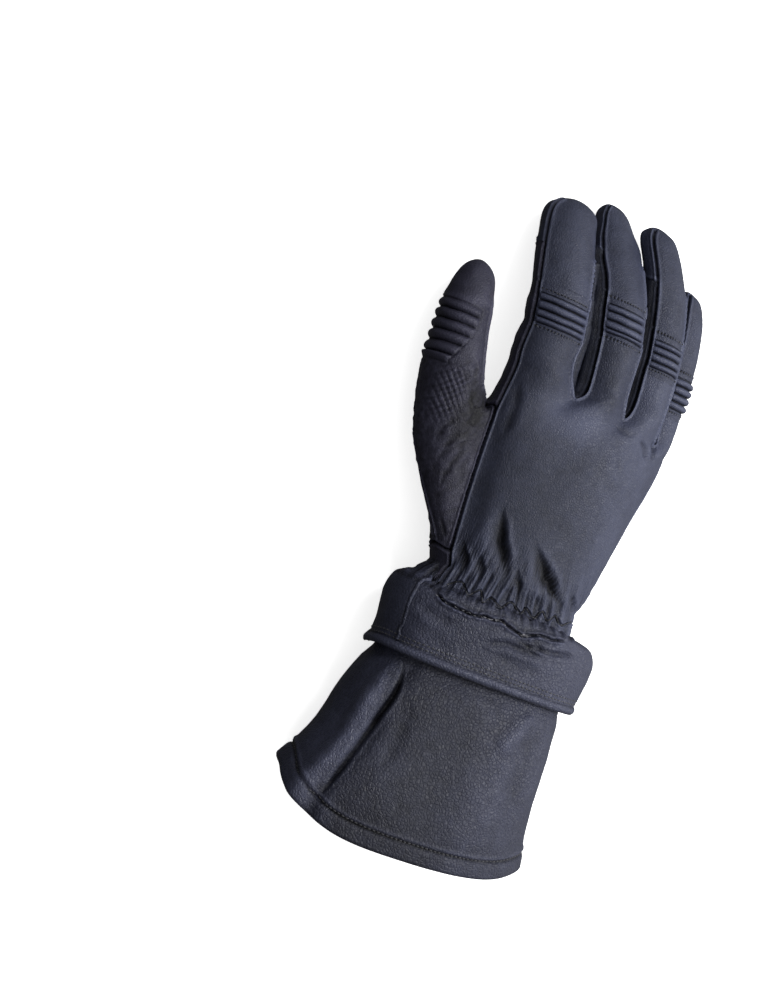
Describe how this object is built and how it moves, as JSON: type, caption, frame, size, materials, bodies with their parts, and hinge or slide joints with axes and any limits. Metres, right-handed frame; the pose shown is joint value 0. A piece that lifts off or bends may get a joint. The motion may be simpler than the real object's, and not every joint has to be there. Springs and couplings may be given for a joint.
{
  "type": "motorcycle gauntlet glove",
  "caption": "Right-hand leather riding glove with accordion knuckle ribs, a gathered wrist under a short bound band, and a long flared gauntlet",
  "frame": {"origin": "centre of the bounding box on the surface the glove lies on, palm down", "axes": "+Y towards the fingertips, +Z out of the back of the hand, thumb towards -X"},
  "size_m": [0.1574, 0.3484, 0.0718],
  "materials": {
    "back_leather": "smooth black-navy cowhide, soft sheen",
    "palm_leather": "pebbled black-navy leather",
    "cuff_leather": "creased black-navy leather",
    "fleece": "purplish-black fleece lining",
    "zip_metal": "dull zip teeth and slider"
  },
  "bodies": {
    "root": {"back_panel": "back_leather", "ribs_index": "back_leather", "ribs_middle": "back_leather", "ribs_ring": "back_leather", "ribs_little": "back_leather", "tip_index": "back_leather", "tip_middle": "back_leather", "tip_ring": "back_leather", "tip_little": "back_leather", "fourchette_index": "back_leather", "fourchette_middle": "back_leather", "fourchette_ring": "back_leather", "palm_panel": "palm_leather", "front_middle": "palm_leather", "front_ring": "palm_leather", "thumb_back": "palm_leather", "thumb_front": "palm_leather", "ribs_thumb": "palm_leather", "heel_patch": "palm_leather", "knuckle_pad": "palm_leather", "band_back": "cuff_leather", "band_palm": "cuff_leather", "band_welt": "cuff_leather", "band_binding": "cuff_leather", "gauntlet_back": "cuff_leather", "gauntlet_palm": "cuff_leather", "hem_facing": "cuff_leather", "wrist_lining": "fleece", "zip_chain": "zip_metal", "zip_slider": "zip_metal"}
  },
  "joints": []
}
